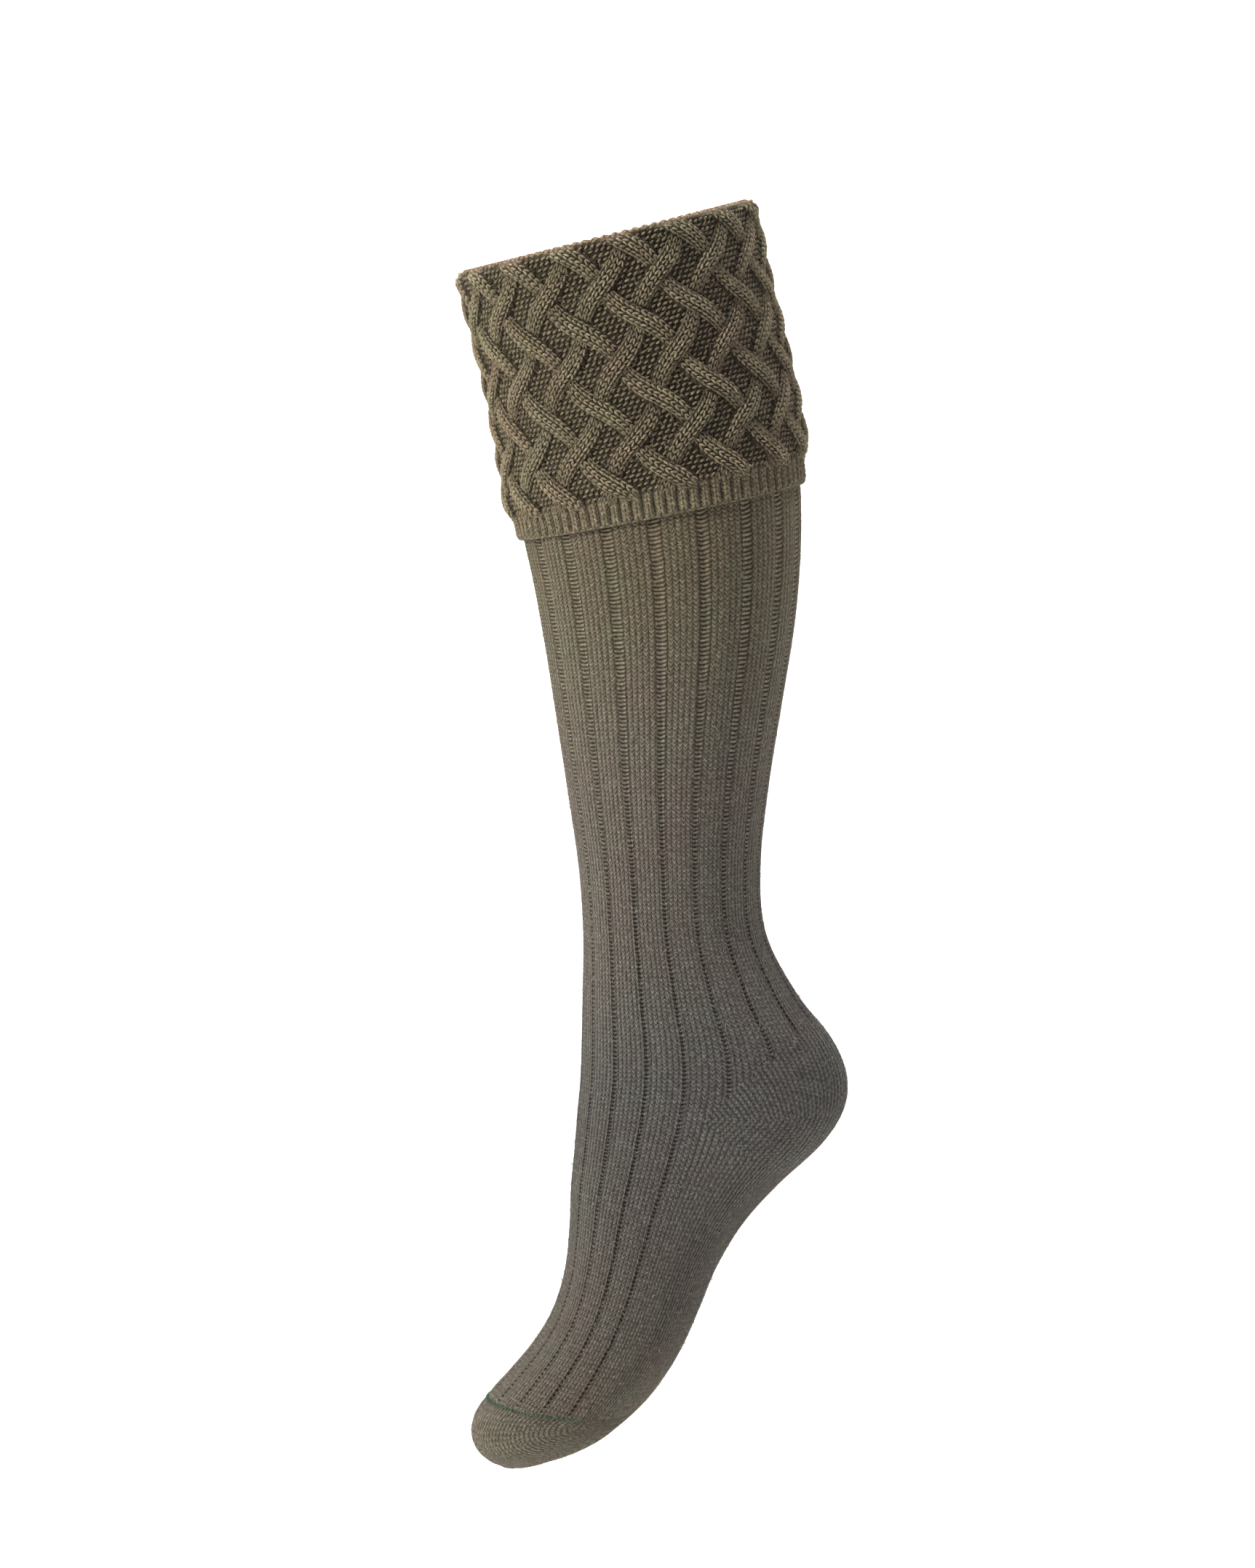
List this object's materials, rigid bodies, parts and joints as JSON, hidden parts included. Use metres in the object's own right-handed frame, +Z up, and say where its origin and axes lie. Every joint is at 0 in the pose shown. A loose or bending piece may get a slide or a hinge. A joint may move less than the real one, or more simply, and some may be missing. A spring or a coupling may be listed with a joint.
{
  "type": "knee-high knitted sock",
  "caption": "Knee-high wool-blend sock in its worn shape: ribbed leg, turned-down lattice cable cuff, plain pocket heel, ribbed instep and linked toe, hollow and open at the top.",
  "frame": {"origin": "middle of the leg opening, level with the fold at the top of the cuff", "axes": "+Z up, from the toe to the opening; +X towards the calf and heel, so the toe points to -X; the mid-plane of the sock is Y = 0"},
  "size_m": [0.178, 0.1308, 0.5833],
  "materials": {
    "cable_knit": "heathered olive wool-blend yarn, soft and matt",
    "rib_knit": "heathered olive wool-blend yarn, soft and matt",
    "plain_knit": "heathered grey-olive wool-blend yarn, soft and matt",
    "linking_yarn": "dark green linking yarn, matt"
  },
  "bodies": {
    "root": {"cuff": "cable_knit", "leg": "rib_knit", "heel": "plain_knit", "instep": "rib_knit", "sole": "plain_knit", "toe": "plain_knit", "toe_seam": "linking_yarn"}
  },
  "joints": []
}
